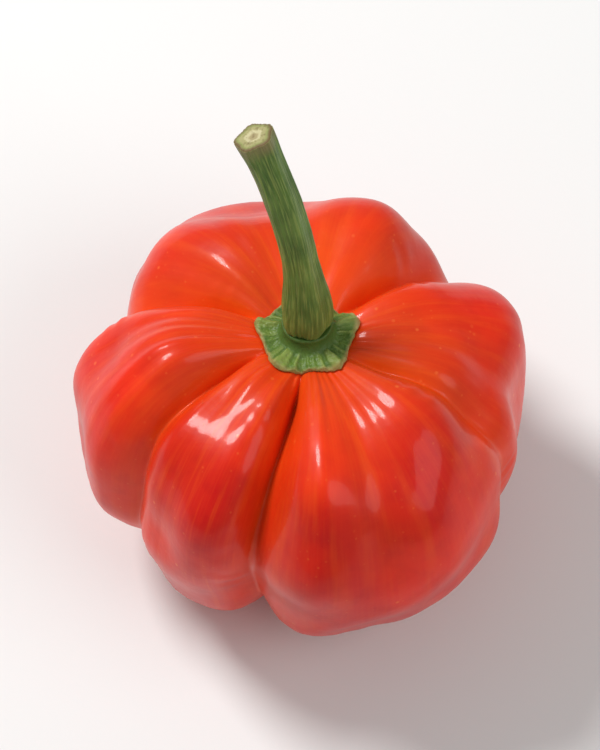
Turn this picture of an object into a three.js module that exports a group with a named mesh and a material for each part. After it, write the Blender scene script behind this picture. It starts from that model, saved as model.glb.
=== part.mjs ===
// A ripe aji dulce pepper, picked with its stem on: a squat, lobed pod that sits on the tips of its
// lobes, a small green calyx in the hollow of the crown, and the stem that rises out of the calyx.
// Millimetres, +Z up. The origin is on the resting plane, under the middle of the whole pepper.
// A place on the pod is a polar angle, in degrees down from the middle of the crown, and an angle
// around, in degrees from +X towards +Y.
import * as THREE from "three";
import { mergeVertices } from "three/addons/utils/BufferGeometryUtils.js";

// Driving dimensions, in millimetres and degrees.
const POD_WIDTH = 44; // across the shoulders, before the furrows are let in
const POD_HALF_HEIGHT = 17; // from the pod's widest level to an even crown or base, before the hollows
const POD_CENTRE_HEIGHT = 15.75; // of the widest level above the resting plane
const CROWN_HEIGHT = 30; // of the hollow's rim above the resting plane
const CROWN_LEAN = 15; // how far the crown leans back, towards +Y
const CALYX_WIDTH = 10.4; // across the tips of its teeth
const NECK_RADIUS = 2.35; // of the calyx where the stem leaves it
const NECK_HEIGHT = 3; // of the calyx above the floor of the crown's hollow
const STEM_LENGTH = 25;
const STEM_THICKNESS = 3.5;
const TOUCHING_GAP = 0.3; // between two pieces that touch

// The deep furrows that part the lobes, in order round the pod: where each one lies, how deep it is
// against the usual depth, and how far it wanders sideways on its way down.
const FURROWS = [
  { at: -152, depth: 0.9, wander: 5 },
  { at: -101, depth: 1.3, wander: -6 },
  { at: -27, depth: 0.65, wander: 5 },
  { at: 43, depth: 1.05, wander: -4 },
  { at: 156, depth: 1, wander: 5 },
];

// The lobes between them, each starting at the furrow of the same place in the list: how much each
// one swells round the middle, rises at the shoulder and reaches down at its foot, as shares of half
// the pod's width.
const LOBES = [
  { swell: -0.02, shoulder: -0.03, foot: -0.02 },
  { swell: 0.065, shoulder: 0, foot: -0.01 },
  { swell: 0.02, shoulder: -0.015, foot: -0.025 },
  { swell: 0.05, shoulder: 0.085, foot: 0.03 },
  { swell: 0.055, shoulder: 0.03, foot: 0 },
];

// Shallow folds within a lobe: where each one lies, between which polar angles, how deep it is as a
// share of half the pod's width, and how wide in degrees.
const FOLDS = [
  { at: -70, from: 14, to: 84, depth: 0.05, width: 9 },
  { at: -52, from: 96, to: 166, depth: 0.045, width: 8 },
  { at: -4, from: 16, to: 118, depth: 0.045, width: 10 },
  { at: 92, from: 14, to: 96, depth: 0.05, width: 15 },
  { at: 112, from: 80, to: 160, depth: 0.05, width: 9 },
  { at: 176, from: 16, to: 70, depth: 0.035, width: 7 },
  { at: -132, from: 22, to: 100, depth: 0.03, width: 7 },
];

// Grid sizes of the three pieces.
const COLUMNS_PER_LOBE = 16;
const POD_ROWS = 44;
const CALYX_COLUMNS = 40;
const STEM_COLUMNS = 15;
const STEM_ROWS = 16;

const HALF_WIDTH = POD_WIDTH / 2;
const rad = THREE.MathUtils.degToRad;
const { clamp, lerp, smoothstep } = THREE.MathUtils;

// A smooth hump: its full height at its middle, falling off over its width.
function hump(value, { height = 1, at, width }) {
  return height * Math.exp(-(((value - at) / width) ** 2));
}

// The pod's even outline is a superellipse that narrows below, with the hollow of the crown and the
// dimple of the base let in. It is a share of half the pod's width, at a polar angle.
const OUTLINE_SQUARENESS = 2.5;
const BASE_TAPER = { by: 0.15, from: 60, to: 150 };
const CROWN_HOLLOW = { height: -0.22, at: 0, width: 24 };
const BASE_DIMPLE = { height: -0.1, at: 180, width: 20 };

function evenOutline(polar) {
  const wide = 1 - BASE_TAPER.by * smoothstep(polar, BASE_TAPER.from, BASE_TAPER.to);
  const tall = POD_HALF_HEIGHT / HALF_WIDTH;
  const across = Math.abs(Math.sin(rad(polar)) / wide) ** OUTLINE_SQUARENESS;
  const along = Math.abs(Math.cos(rad(polar)) / tall) ** OUTLINE_SQUARENESS;
  const even = (across + along) ** (-1 / OUTLINE_SQUARENESS);
  return even + hump(polar, CROWN_HOLLOW) + hump(polar, BASE_DIMPLE);
}

// The furrows start beside the calyx, are deepest on the shoulder, shallow round the middle, deeper
// again below, and end in the dimple of the base.
const FURROW_DEPTH = 0.095;
const SHOULDER_FURROW = { height: 0.1, at: 38, width: 26 };
const BASE_FURROW = { height: 0.05, at: 142, width: 25 };
const FURROW_START = { from: 9, to: 34 };
const FURROW_END = { from: 150, to: 179 };

function furrowDepth(polar) {
  const started = smoothstep(polar, FURROW_START.from, FURROW_START.to);
  const ended = smoothstep(polar, FURROW_END.from, FURROW_END.to);
  return started * (1 - ended) * (FURROW_DEPTH + hump(polar, SHOULDER_FURROW) + hump(polar, BASE_FURROW));
}

// How square a lobe is between its furrows: at 1 it is a plain arch, and above that its furrows are
// narrower and it is flatter between them.
const LOBE_SQUARENESS = 2.2;
const SHOULDER_SQUARENESS = { height: 1.2, at: 40, width: 30 };
const BASE_SQUARENESS = { height: 0.6, at: 150, width: 28 };

function lobeSquareness(polar) {
  return LOBE_SQUARENESS + hump(polar, SHOULDER_SQUARENESS) + hump(polar, BASE_SQUARENESS);
}

// The angle round the pod of a furrow, which wanders as it goes down. Counting on past the last
// furrow goes round again.
const WANDER = { waves: 1.7, start: -60 };

function furrowAngle(index, polar) {
  const turn = Math.floor(index / FURROWS.length);
  const furrow = FURROWS[index - turn * FURROWS.length];
  return furrow.at + 360 * turn + furrow.wander * Math.sin(rad(WANDER.waves * polar + WANDER.start));
}

// The lobe that an angle round the pod lies in, and how far across that lobe it is, from 0 to 1.
function lobeAt(polar, around) {
  let angle = around;
  while (angle < furrowAngle(0, polar)) angle += 360;
  while (angle >= furrowAngle(FURROWS.length, polar)) angle -= 360;
  let lobe = 0;
  while (angle >= furrowAngle(lobe + 1, polar)) lobe++;
  const start = furrowAngle(lobe, polar);
  const end = furrowAngle(lobe + 1, polar);
  return { lobe, across: (angle - start) / (end - start) };
}

// How deep a fold is at a place on the pod. It keeps its width in millimetres towards the crown.
const NARROWEST_LEVEL = 0.35; // share of the pod's width below which a fold narrows too

function foldDepth(fold, polar, around) {
  const away = Math.abs(((around - fold.at + 540) % 360) - 180);
  const ends = (fold.to - fold.from) / 4;
  const started = smoothstep(polar, fold.from, fold.from + ends);
  const ended = smoothstep(polar, fold.to - ends, fold.to);
  const width = fold.width / Math.max(NARROWEST_LEVEL, Math.sin(rad(polar)));
  return hump(away, { height: fold.depth, at: 0, width }) * started * (1 - ended);
}

// The distance from the pod's centre to its skin, in millimetres.
const CREASE_ROUNDING = 0.07;
const MIDDLE = { at: 85, width: 45 };
const SHOULDER = { at: 38, width: 24 };
const FOOT = { at: 152, width: 24 };
const LOBES_START = { from: 12, to: 40 };

function podRadius(polar, around) {
  const { lobe, across } = lobeAt(polar, around);
  const arch = Math.hypot(Math.sin(Math.PI * across), CREASE_ROUNDING) - CREASE_ROUNDING;
  const full = 1 - (1 - arch) ** lobeSquareness(polar);
  const nextFurrow = FURROWS[(lobe + 1) % FURROWS.length];
  const depth = lerp(FURROWS[lobe].depth, nextFurrow.depth, smoothstep(across, 0, 1));
  let share = evenOutline(polar) * (1 - depth * furrowDepth(polar) * (1 - full));
  const { swell, shoulder, foot } = LOBES[lobe];
  const growth = swell * hump(polar, MIDDLE) + shoulder * hump(polar, SHOULDER) + foot * hump(polar, FOOT);
  share += growth * full * smoothstep(polar, LOBES_START.from, LOBES_START.to);
  for (const fold of FOLDS) share -= foldDepth(fold, polar, around);
  return HALF_WIDTH * share;
}

// Gentle unevenness of the skin, in millimetres: a few long waves that cross in different directions.
// It leaves the crown's hollow even for the calyx.
const LUMP_WAVES = 9;
const LUMP_HEIGHT = 0.16;
const LUMP_LENGTHS = { longest: 15, shortest: 8 };
const LUMP_PHASE = 1.7;
const LUMPS_START = { from: 16, to: 40 };
const GOLDEN_TURN = Math.PI * (3 - Math.sqrt(5));

function lumps(point) {
  let height = 0;
  for (let i = 0; i < LUMP_WAVES; i++) {
    const up = 1 - (2 * i + 1) / LUMP_WAVES;
    const level = Math.sqrt(1 - up * up);
    const turn = GOLDEN_TURN * i;
    const length = lerp(LUMP_LENGTHS.longest, LUMP_LENGTHS.shortest, i / (LUMP_WAVES - 1));
    const along = level * Math.cos(turn) * point.x + level * Math.sin(turn) * point.y + up * point.z;
    height += LUMP_HEIGHT * Math.sin((2 * Math.PI * along) / length + LUMP_PHASE * i);
  }
  return height;
}

// A point of the upright pepper, lift millimetres outside the pod's skin, before it leans.
function onPod(polar, around, lift = 0) {
  const direction = new THREE.Vector3(
    Math.sin(rad(polar)) * Math.cos(rad(around)),
    Math.sin(rad(polar)) * Math.sin(rad(around)),
    Math.cos(rad(polar)),
  );
  const skin = podRadius(polar, around);
  const uneven = lumps(direction.clone().multiplyScalar(skin));
  const radius = skin + uneven * smoothstep(polar, LUMPS_START.from, LUMPS_START.to) + lift;
  return direction.multiplyScalar(radius).add(new THREE.Vector3(0, 0, POD_CENTRE_HEIGHT));
}

// Leans the upright pepper back: below the crown its axis is an arc, and above it a straight line.
function lean(point) {
  const bend = rad(CROWN_LEAN) / CROWN_HEIGHT;
  const height = clamp(point.z, 0, CROWN_HEIGHT);
  const beyond = point.z - height;
  const angle = bend * height;
  return new THREE.Vector3(
    point.x,
    (1 - Math.cos(angle)) / bend + Math.sin(angle) * beyond + Math.cos(angle) * point.y,
    Math.sin(angle) / bend + Math.cos(angle) * beyond - Math.sin(angle) * point.y,
  );
}

// Makes a closed mesh by moving each vertex of a sphere to where place(column, row) says, leant back.
// Row 0 is the upper pole and the last row the lower one, and the seam's two columns are one.
function gridGeometry(columns, rows, place) {
  const geometry = new THREE.SphereGeometry(1, columns, rows);
  const position = geometry.getAttribute("position");
  for (let i = 0; i < position.count; i++) {
    const row = Math.floor(i / (columns + 1));
    const pole = row === 0 || row === rows;
    const column = pole ? 0 : (i % (columns + 1)) % columns;
    const { x, y, z } = lean(place(column, row));
    position.setXYZ(i, x, y, z);
  }
  geometry.deleteAttribute("normal");
  geometry.deleteAttribute("uv");
  return mergeVertices(geometry, 1e-3);
}

// The pod's grid: rows crowd towards the crown and the base, and columns follow the furrows down and
// crowd towards them.
const ROW_CROWDING = 0.22;
const COLUMN_CROWDING = 0.55;

function podPoint(column, row) {
  const down = row / POD_ROWS;
  const polar = 180 * (down - (ROW_CROWDING * Math.sin(2 * Math.PI * down)) / (2 * Math.PI));
  const lobe = Math.floor(column / COLUMNS_PER_LOBE);
  const step = (column % COLUMNS_PER_LOBE) / COLUMNS_PER_LOBE;
  const across = step - (COLUMN_CROWDING * Math.sin(2 * Math.PI * step)) / (2 * Math.PI);
  return onPod(polar, lerp(furrowAngle(lobe, polar), furrowAngle(lobe + 1, polar), across));
}

function podGeometry() {
  const geometry = gridGeometry(COLUMNS_PER_LOBE * FURROWS.length, POD_ROWS, podPoint);
  const position = geometry.getAttribute("position");
  // The tips of the lobes are pressed flat where the pod rests on them.
  for (let i = 0; i < position.count; i++) position.setZ(i, Math.max(0, position.getZ(i)));
  return geometry;
}

// The calyx's outline from the top down. The neck's flat top and side are shares of the neck's radius
// and height.
const NECK_ROWS = [
  { radius: 0, rise: 1 },
  { radius: 1, rise: 1 },
  { radius: 1.02, rise: 0.82 },
  { radius: 1.14, rise: 0.62 },
];
// The skirt goes out to the margin and back under it to the middle: the share of the way out to the
// margin, and the lift above the pod's skin.
const SKIRT_ROWS = [
  { share: 0.6, lift: 1.4 },
  { share: 0.72, lift: 1.15 },
  { share: 0.86, lift: 1 },
  { share: 0.97, lift: 0.75 },
  { share: 1, lift: 0.35 },
  { share: 0.94, lift: 0 },
  { share: 0.7, lift: 0 },
  { share: 0.35, lift: 0 },
  { share: 0, lift: 0 },
];

// The polar angle of the calyx's margin, which runs out into a blunt tooth five times round.
const TEETH = { count: 5, first: 20, bay: 0.84, bluntness: 1.5 };
const MARGIN_POLAR = 18; // about where the margin lies, to read the pod's outline there

function marginPolar(around) {
  const tooth = 0.5 + 0.5 * Math.cos(rad(TEETH.count * (around - TEETH.first)));
  const halfWidth = (CALYX_WIDTH / 2) * lerp(TEETH.bay, 1, tooth ** TEETH.bluntness);
  return THREE.MathUtils.radToDeg(Math.asin(halfWidth / (HALF_WIDTH * evenOutline(MARGIN_POLAR))));
}

function calyxPoint(column, row) {
  const around = (360 * column) / CALYX_COLUMNS;
  if (row >= NECK_ROWS.length) {
    const { share, lift } = SKIRT_ROWS[row - NECK_ROWS.length];
    return onPod(marginPolar(around) * share, around, TOUCHING_GAP + lift);
  }
  const { radius, rise } = NECK_ROWS[row];
  return new THREE.Vector3(
    NECK_RADIUS * radius * Math.cos(rad(around)),
    NECK_RADIUS * radius * Math.sin(rad(around)),
    onPod(0, 0).z + TOUCHING_GAP + NECK_HEIGHT * rise,
  );
}

function calyxGeometry() {
  return gridGeometry(CALYX_COLUMNS, NECK_ROWS.length + SKIRT_ROWS.length - 1, calyxPoint);
}

// The stem's thickness at a share of the way up: drawn in at the calyx, flared just above it, slim,
// and with a knuckle at the cut end.
const STEM_WAIST = { height: -0.12, at: 0, width: 0.03 };
const STEM_FLARE = { height: 0.42, at: 0.06, width: 0.16 };
const STEM_KNUCKLE = { height: 0.16, at: 1, width: 0.09 };
const STEM_TAPER = 0.08;
const STEM_RIBS = { count: 5, height: 0.07, twist: 30 };
const STEM_SWEEP = { aside: -5, back: 2.2 }; // how far the tip has curved off the stem's first line

function stemRadius(share, around) {
  const thick = 1 + hump(share, STEM_WAIST) + hump(share, STEM_FLARE) + hump(share, STEM_KNUCKLE);
  const rib = STEM_RIBS.height * Math.cos(rad(STEM_RIBS.count * (around + STEM_RIBS.twist * share)));
  return (STEM_THICKNESS / 2) * (thick - STEM_TAPER * share) * (1 + rib);
}

function stemAxis(share) {
  const foot = onPod(0, 0).z + NECK_HEIGHT + 2 * TOUCHING_GAP;
  const { aside, back } = STEM_SWEEP;
  return new THREE.Vector3(aside * share ** 2, back * share ** 2, foot + STEM_LENGTH * share);
}

function stemPoint(column, row) {
  const around = (360 * column) / STEM_COLUMNS;
  // The two poles are the middles of the flat ends, and the rows next to them are the ends' rims.
  const share = clamp((STEM_ROWS - 1 - row) / (STEM_ROWS - 2), 0, 1);
  const radius = row === 0 || row === STEM_ROWS ? 0 : stemRadius(share, around);
  const ahead = stemAxis(share + 0.01).sub(stemAxis(share)).normalize();
  const side = new THREE.Vector3(0, 1, 0).cross(ahead).normalize();
  const back = ahead.clone().cross(side);
  return stemAxis(share)
    .addScaledVector(side, radius * Math.cos(rad(around)))
    .addScaledVector(back, radius * Math.sin(rad(around)));
}

function stemGeometry() {
  return gridGeometry(STEM_COLUMNS, STEM_ROWS, stemPoint);
}

// The three pieces in their colours.
const skin = new THREE.MeshStandardMaterial({ color: 0xd8200c, roughness: 0.25, metalness: 0 });
const leafGreen = new THREE.MeshStandardMaterial({ color: 0x4f7a35, roughness: 0.6, metalness: 0 });
const stemGreen = new THREE.MeshStandardMaterial({ color: 0x3f7038, roughness: 0.5, metalness: 0 });

function piece(name, geometry, material) {
  const mesh = new THREE.Mesh(geometry, material);
  mesh.name = name;
  return mesh;
}

const pepper = new THREE.Group();
pepper.add(piece("pod", podGeometry(), skin));
pepper.add(piece("calyx", calyxGeometry(), leafGreen));
pepper.add(piece("stem", stemGeometry(), stemGreen));

// The origin goes under the middle of the whole pepper.
const box = new THREE.Box3().setFromObject(pepper);
pepper.position.set(-(box.min.x + box.max.x) / 2, -(box.min.y + box.max.y) / 2, 0);

export default pepper;
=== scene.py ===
# %% [markdown]
# # A ripe aji dulce pepper
#
# An aji dulce is a small sweet pepper that looks like a squashed bell pepper with wrinkled shoulders.
# This lesson dresses one that comes packed as a plain model of three pieces: the lobed pod, the green
# calyx in the hollow of its crown, and the stem, cut where the pepper was picked. The packed model is
# the frame. It says where everything is and how big it is, and finer pieces that are made here take
# the places of its three. The model is in metres, and this lesson works in millimetres up to the
# moment a mesh is made, because a pepper is easier to think about in millimetres.

# %% Load the packed model
import math

import bpy
import numpy as np
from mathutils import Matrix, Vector, noise


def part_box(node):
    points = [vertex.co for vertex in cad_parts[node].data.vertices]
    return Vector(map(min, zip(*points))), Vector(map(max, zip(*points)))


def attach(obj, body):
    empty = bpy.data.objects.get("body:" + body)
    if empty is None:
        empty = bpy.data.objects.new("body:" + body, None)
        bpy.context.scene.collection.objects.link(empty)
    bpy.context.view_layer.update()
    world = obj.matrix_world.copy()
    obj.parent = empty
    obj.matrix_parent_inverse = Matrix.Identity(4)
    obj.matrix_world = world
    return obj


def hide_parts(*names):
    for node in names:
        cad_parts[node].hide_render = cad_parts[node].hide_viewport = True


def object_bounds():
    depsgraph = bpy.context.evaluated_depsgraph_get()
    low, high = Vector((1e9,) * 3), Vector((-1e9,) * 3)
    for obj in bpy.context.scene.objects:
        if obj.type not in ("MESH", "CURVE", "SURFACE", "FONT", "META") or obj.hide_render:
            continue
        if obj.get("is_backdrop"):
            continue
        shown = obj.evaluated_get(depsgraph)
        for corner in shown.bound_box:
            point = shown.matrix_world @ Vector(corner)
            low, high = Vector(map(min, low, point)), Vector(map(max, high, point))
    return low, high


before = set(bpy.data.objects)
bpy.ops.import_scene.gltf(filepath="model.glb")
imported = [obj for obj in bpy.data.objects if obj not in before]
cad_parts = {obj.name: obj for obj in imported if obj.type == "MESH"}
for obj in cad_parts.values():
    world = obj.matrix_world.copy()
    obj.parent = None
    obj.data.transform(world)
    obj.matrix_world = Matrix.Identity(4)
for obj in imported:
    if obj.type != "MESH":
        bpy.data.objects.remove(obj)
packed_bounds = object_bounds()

MM = 0.001
print("packed pieces:", ", ".join(sorted(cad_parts)))

# %% [markdown]
# ## The form of the pod
#
# A pepper pod grows as a few chambers side by side, and each chamber swells into a lobe. The walls
# between them hold the skin back, which makes the furrows. A pod could be sculpted by hand, but rules
# that do what growth does give every lobe its own believable shape and are easy to change. They start
# from an even, squarish round and change how far the skin is from the middle: furrows hold it back,
# lobes push it out, and shallow folds crease it. The packed pod was made by the same rules on a coarse
# grid, so the rules are repeated here with the same values, and a finer grid will show them without
# facets. Angles are in degrees: polar angles count down from the crown, and angles around count from
# +X towards +Y.

# %% The sizes of the pod and the places of its furrows
POD_WIDTH = 44.0
POD_HALF_HEIGHT = 17.0
POD_CENTRE_HEIGHT = 15.75
CROWN_HEIGHT = 30.0
CROWN_LEAN = 15.0
HALF_WIDTH = POD_WIDTH / 2

FURROWS = [
    {"at": -152, "depth": 0.9, "wander": 5},
    {"at": -101, "depth": 1.3, "wander": -6},
    {"at": -27, "depth": 0.65, "wander": 5},
    {"at": 43, "depth": 1.05, "wander": -4},
    {"at": 156, "depth": 1.0, "wander": 5},
]
LOBES = [
    {"swell": -0.02, "shoulder": -0.03, "foot": -0.02},
    {"swell": 0.065, "shoulder": 0.0, "foot": -0.01},
    {"swell": 0.02, "shoulder": -0.015, "foot": -0.025},
    {"swell": 0.05, "shoulder": 0.085, "foot": 0.03},
    {"swell": 0.055, "shoulder": 0.03, "foot": 0.0},
]
FOLDS = [
    {"at": -70, "start": 14, "end": 84, "depth": 0.05, "width": 9},
    {"at": -52, "start": 96, "end": 166, "depth": 0.045, "width": 8},
    {"at": -4, "start": 16, "end": 118, "depth": 0.045, "width": 10},
    {"at": 92, "start": 14, "end": 96, "depth": 0.05, "width": 15},
    {"at": 112, "start": 80, "end": 160, "depth": 0.05, "width": 9},
    {"at": 176, "start": 16, "end": 70, "depth": 0.035, "width": 7},
    {"at": -132, "start": 22, "end": 100, "depth": 0.03, "width": 7},
]
print(f"{len(FURROWS)} furrows part the lobes, and {len(FOLDS)} shallow folds crease them")


# %% Two soft shapes that every rule is made of
def hump(value, height=1.0, at=0.0, width=1.0):
    """A smooth hump: its full height at its middle, falling off over its width."""
    return height * np.exp(-(((value - at) / width) ** 2))


def ease(value, start, end):
    """0 up to start, 1 from end on, and a smooth step between them."""
    share = np.clip((value - start) / (end - start), 0, 1)
    return share * share * (3 - 2 * share)


print("halfway through a step:", ease(5.0, 0, 10), "and at a hump's width:", round(float(hump(1.0)), 3))

# %% The even outline, and how deep the furrows cut into it
OUTLINE_SQUARENESS = 2.5
BASE_TAPER = {"by": 0.15, "start": 60, "end": 150}
CROWN_HOLLOW = {"height": -0.22, "at": 0, "width": 24}
BASE_DIMPLE = {"height": -0.1, "at": 180, "width": 20}
FURROW_DEPTH = 0.095
SHOULDER_FURROW = {"height": 0.1, "at": 38, "width": 26}
BASE_FURROW = {"height": 0.05, "at": 142, "width": 25}
FURROW_START = {"start": 9, "end": 34}
FURROW_END = {"start": 150, "end": 179}


def even_outline(polar):
    """The pod's radius without lobes, as a share of half its width."""
    wide = 1 - BASE_TAPER["by"] * ease(polar, BASE_TAPER["start"], BASE_TAPER["end"])
    tall = POD_HALF_HEIGHT / HALF_WIDTH
    across = np.abs(np.sin(np.radians(polar)) / wide) ** OUTLINE_SQUARENESS
    along = np.abs(np.cos(np.radians(polar)) / tall) ** OUTLINE_SQUARENESS
    even = (across + along) ** (-1 / OUTLINE_SQUARENESS)
    return even + hump(polar, **CROWN_HOLLOW) + hump(polar, **BASE_DIMPLE)


def furrow_depth(polar):
    """The usual depth of a furrow, deepest on the shoulder and shallow round the middle."""
    deep = FURROW_DEPTH + hump(polar, **SHOULDER_FURROW) + hump(polar, **BASE_FURROW)
    return deep * ease(polar, **FURROW_START) * (1 - ease(polar, **FURROW_END))


print(f"a furrow is {float(furrow_depth(38)) * HALF_WIDTH:.1f} mm deep on the shoulder")

# %% Where a place is within its lobe
WANDER = {"waves": 1.7, "start": -60}


def furrow_angles(polar):
    """The angle of each furrow, wandering on its way down, and the first one again a turn later."""
    sway = np.sin(np.radians(WANDER["waves"] * polar + WANDER["start"]))
    angles = [furrow["at"] + furrow["wander"] * sway for furrow in FURROWS]
    return np.array(angles + [angles[0] + 360])


def lobe_at(polar, around):
    """The number of a place's lobe, how far across the lobe it is, and the lobe's width in degrees."""
    edges = furrow_angles(polar)
    angle = edges[0] + (around - edges[0]) % 360
    lobe = (angle >= edges[1:-1]).sum(axis=0)
    start = np.take_along_axis(edges, lobe[None], 0)[0]
    end = np.take_along_axis(edges, lobe[None] + 1, 0)[0]
    return lobe, (angle - start) / (end - start), end - start


widths = np.diff(furrow_angles(np.array(90.0)))
print("the lobes are", ", ".join(f"{width:.0f}" for width in widths), "degrees wide")

# %% The skin's distance from the middle
LOBE_SQUARENESS = 2.2
SHOULDER_SQUARENESS = {"height": 1.2, "at": 40, "width": 30}
BASE_SQUARENESS = {"height": 0.6, "at": 150, "width": 28}
CREASE_ROUNDING = 0.07
MIDDLE = {"at": 85, "width": 45}
SHOULDER = {"at": 38, "width": 24}
FOOT = {"at": 152, "width": 24}
LOBES_START = {"start": 12, "end": 40}
NARROWEST_LEVEL = 0.35  # towards a pole a fold takes a wider angle, up to the level with this sine


def of_lobes(table, key, lobe):
    """One value of each place's lobe or furrow, from its table."""
    return np.array([row[key] for row in table], float)[lobe]


def fold_depth(polar, around):
    """How deep all the folds together are."""
    total = np.zeros_like(around)
    for fold in FOLDS:
        away = np.abs((around - fold["at"] + 540) % 360 - 180)
        ends = (fold["end"] - fold["start"]) / 4
        started = ease(polar, fold["start"], fold["start"] + ends)
        ended = ease(polar, fold["end"] - ends, fold["end"])
        width = fold["width"] / np.maximum(NARROWEST_LEVEL, np.sin(np.radians(polar)))
        total += fold["depth"] * np.exp(-((away / width) ** 2)) * started * (1 - ended)
    return total


def pod_radius(polar, around):
    """The distance from the pod's centre to its skin, and how far a place is out of the furrows."""
    lobe, across, _ = lobe_at(polar, around)
    arch = np.hypot(np.sin(np.pi * across), CREASE_ROUNDING) - CREASE_ROUNDING
    square = LOBE_SQUARENESS + hump(polar, **SHOULDER_SQUARENESS) + hump(polar, **BASE_SQUARENESS)
    full = 1 - (1 - arch) ** square
    this_side = of_lobes(FURROWS, "depth", lobe)
    far_side = of_lobes(FURROWS, "depth", (lobe + 1) % len(FURROWS))
    depth = this_side + (far_side - this_side) * ease(across, 0, 1)
    share = even_outline(polar) * (1 - depth * furrow_depth(polar) * (1 - full))
    growth = (
        of_lobes(LOBES, "swell", lobe) * hump(polar, **MIDDLE)
        + of_lobes(LOBES, "shoulder", lobe) * hump(polar, **SHOULDER)
        + of_lobes(LOBES, "foot", lobe) * hump(polar, **FOOT)
    )
    share += growth * full * ease(polar, **LOBES_START)
    return HALF_WIDTH * (share - fold_depth(polar, around)), full


widest = pod_radius(np.full(360, 80.0), np.arange(360.0))[0]
print(f"round the middle the skin is {widest.min():.1f} to {widest.max():.1f} mm from the axis")

# %% Long waves that keep the skin from being even
LUMP_WAVES = 9
LUMP_HEIGHT = 0.16
LUMP_LENGTHS = {"longest": 15, "shortest": 8}
LUMP_PHASE = 1.7
LUMPS_START = {"start": 16, "end": 40}
GOLDEN_TURN = math.pi * (3 - math.sqrt(5))


def directions(polar, around):
    """The unit vector from the pod's centre towards each place."""
    level = np.sin(np.radians(polar))
    east = level * np.cos(np.radians(around))
    north = level * np.sin(np.radians(around))
    return np.stack([east, north, np.cos(np.radians(polar)) + 0 * around], axis=-1)


def lumps(points):
    """The height of the waves at each point, in millimetres."""
    height = 0
    for i in range(LUMP_WAVES):
        up = 1 - (2 * i + 1) / LUMP_WAVES
        level = math.sqrt(1 - up * up)
        turn = GOLDEN_TURN * i
        share = i / (LUMP_WAVES - 1)
        length = LUMP_LENGTHS["longest"] + share * (LUMP_LENGTHS["shortest"] - LUMP_LENGTHS["longest"])
        along = points @ np.array([level * math.cos(turn), level * math.sin(turn), up])
        height = height + LUMP_HEIGHT * np.sin(2 * np.pi * along / length + LUMP_PHASE * i)
    return height


def on_pod(polar, around, lift=0.0):
    """Points of the upright pepper, lift millimetres outside the pod's skin."""
    outward = directions(polar, around)
    skin, _ = pod_radius(polar, around)
    uneven = lumps(outward * skin[..., None]) * ease(polar, **LUMPS_START)
    return outward * (skin + uneven + lift)[..., None] + np.array([0, 0, POD_CENTRE_HEIGHT])


crown_floor = on_pod(np.zeros(1), np.zeros(1))[0, 2]
print(f"the floor of the crown's hollow is {crown_floor:.1f} mm up")


# %% Lean the upright pepper back
def lean(points):
    """Bends the pepper's axis back in an arc up to the crown, and keeps it straight above."""
    bend = math.radians(CROWN_LEAN) / CROWN_HEIGHT
    height = np.clip(points[..., 2], 0, CROWN_HEIGHT)
    beyond = points[..., 2] - height
    cosine, sine = np.cos(bend * height), np.sin(bend * height)
    back = (1 - cosine) / bend + sine * beyond + cosine * points[..., 1]
    up = sine / bend + cosine * beyond - sine * points[..., 1]
    return np.stack([points[..., 0], back, up], axis=-1)


print("the crown's middle leans", np.round(lean(np.array([0, 0, crown_floor]))[1], 1), "mm back")

# %% [markdown]
# ## Fit the form to the packed pod
#
# The packed pepper was moved so that its origin lies under its middle. To find that move, the rules
# are run once on the packed pod's own grid, and the box of the result is compared with the packed
# box. Scaling the one box to the other would hide a mistake in the rules. A plain move shows it: the
# two boxes should be the same size to a hundredth of a millimetre.
#
# The columns of the grid follow the furrows down the pod and crowd towards them, so the sharpest
# creases get the most points.

# %% A grid over the pod, and the move onto the packed pod
COLUMN_CROWDING = 0.55
ROW_CROWDING = 0.22
PACKED_GRID = {"columns_per_lobe": 16, "rows": 44}


def pod_grid(columns_per_lobe, rows):
    """Polar angles and angles around of a grid whose rows run from the crown to the base."""
    down = np.arange(rows + 1) / rows
    polar = 180 * (down - ROW_CROWDING * np.sin(2 * np.pi * down) / (2 * np.pi))
    step = np.arange(columns_per_lobe) / columns_per_lobe
    across = step - COLUMN_CROWDING * np.sin(2 * np.pi * step) / (2 * np.pi)
    edges = furrow_angles(polar)
    start, end = edges[:-1, :, None], edges[1:, :, None]
    around = (start + (end - start) * across).transpose(1, 0, 2).reshape(rows + 1, -1)
    return np.repeat(polar[:, None], around.shape[1], axis=1), around


coarse = lean(on_pod(*pod_grid(**PACKED_GRID)))
coarse[..., 2] = np.maximum(coarse[..., 2], 0)
packed_low, packed_high = (np.array(corner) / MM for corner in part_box("pod"))
move = packed_low - coarse.min(axis=(0, 1))
misfit = np.abs(packed_high - packed_low - np.ptp(coarse, axis=(0, 1)))
print("move onto the packed pod:", np.round(move, 3), "mm, misfit", np.round(misfit.max(), 4), "mm")


def to_frame(points):
    """Points of the leant pepper, in millimetres, become metres in the packed model's frame."""
    return (points + move) * MM


# %% [markdown]
# ## Small relief of the skin
#
# Gloss shows every dent, so the skin needs real relief for its highlights to break up as a pepper's
# do. Four kinds are added on top of the big form, each a fraction of a millimetre high: pleats that
# fan out from the calyx over the shoulders, faint upright growth lines, puckers that cross the sides
# of the furrows, and soft dents with a fine unevenness over all of it. They could be left to a bump
# in the material, but a bump never shows at the outline, and it stays behind when the mesh is used
# elsewhere. The random draws are seeded, so the pepper is the same each time.

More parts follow.
